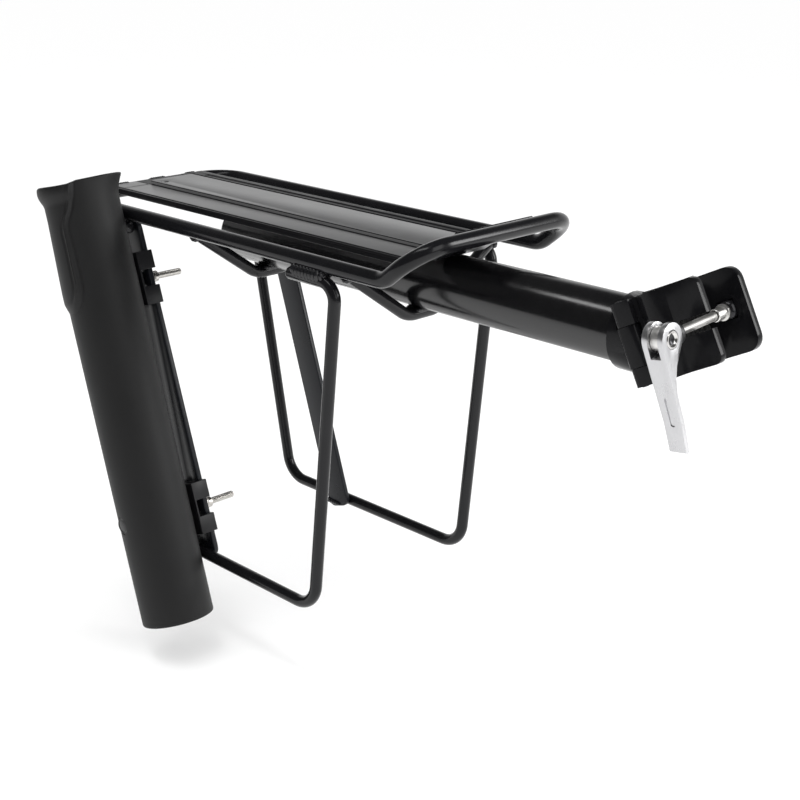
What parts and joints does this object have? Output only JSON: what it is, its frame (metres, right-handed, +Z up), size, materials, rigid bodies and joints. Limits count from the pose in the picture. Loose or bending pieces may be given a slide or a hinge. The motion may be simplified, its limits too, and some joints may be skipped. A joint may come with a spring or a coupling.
{
  "type": "seatpost rear rack",
  "caption": "Rear rack that clamps to a bicycle seatpost by a quick-release lever, with a long deck, side loops and an open tube for a rod on its right strut.",
  "frame": {"origin": "centre of the seatpost clamp: on the seatpost's axis, halfway up the jaws", "axes": "+X forward along the level rails, +Y to the rider's left, +Z up; the rod holder and the lever are on the -Y side"},
  "size_m": [0.5241, 0.1986, 0.3086],
  "materials": {
    "satin_black_paint": "satin black powder coat on bent alloy rod and flat bar",
    "gloss_black_paint": "high-gloss black paint on a round tube",
    "anodised_deck": "dark grey anodised extrusion with a fine brushed grain",
    "black_casting": "glossy black paint on a die casting",
    "black_steel": "blackened steel",
    "nickel_steel": "nickel-plated steel",
    "polished_aluminium": "polished aluminium",
    "grey_black_plastic": "matte dark grey moulded plastic with a fine grain",
    "clip_plastic": "satin black moulded plastic",
    "black_plastic": "satin black plastic",
    "liner_rubber": "matte black rubber"
  },
  "bodies": {
    "rack": {"access_plug": "black_plastic", "beam_end_plug": "black_plastic", "clamp_body": "black_casting", "deck_plate": "anodised_deck", "front_hanger": "satin_black_paint", "hinge_pin": "black_steel", "hoop_plate": "satin_black_paint", "left_liner": "liner_rubber", "left_side_loop": "satin_black_paint", "left_strut": "satin_black_paint", "lower_clip": "clip_plastic", "lower_clip_bolt": "nickel_steel", "lower_clip_nut": "nickel_steel", "lower_clip_spacer": "nickel_steel", "lower_clip_washer": "nickel_steel", "main_beam": "gloss_black_paint", "rail_frame": "satin_black_paint", "rear_hanger": "satin_black_paint", "right_side_loop": "satin_black_paint", "right_strut": "satin_black_paint", "rod_holder": "grey_black_plastic", "upper_clip": "clip_plastic", "upper_clip_bolt": "nickel_steel", "upper_clip_nut": "nickel_steel", "upper_clip_spacer": "nickel_steel", "upper_clip_washer": "nickel_steel"},
    "near_jaw": {"near_jaw": "black_casting", "right_liner": "liner_rubber"},
    "pivot_nut": {"pivot_nut": "black_steel"},
    "skewer": {"skewer": "nickel_steel", "skewer_sleeve": "nickel_steel", "cupped_washer": "black_plastic", "cam_pin": "nickel_steel"},
    "lever": {"quick_release_lever": "polished_aluminium"}
  },
  "joints": [
    {"name": "near_jaw_hinge", "type": "hinge", "parent": "rack", "child": "near_jaw", "pos_m": [-0.01916, -0.02, -0.00976], "axis": [0.454, 0, -0.891], "range_deg": [-2, 14]},
    {"name": "skewer_swing", "type": "hinge", "parent": "rack", "child": "pivot_nut", "pos_m": [0.01549, 0.017, 0.00924], "axis": [-0.4534, -0.0523, 0.8898], "range_deg": [0, 35]},
    {"name": "skewer_turn", "type": "hinge", "parent": "pivot_nut", "child": "skewer", "pos_m": [0.01549, 0.017, 0.00924], "axis": [-0.0238, 0.9986, 0.0466], "continuous": true},
    {"name": "lever_hinge", "type": "hinge", "parent": "skewer", "child": "lever", "pos_m": [0.01696, -0.04471, 0.00636], "axis": [-0.9888, -0.0166, -0.1482], "range_deg": [0, 150]}
  ]
}
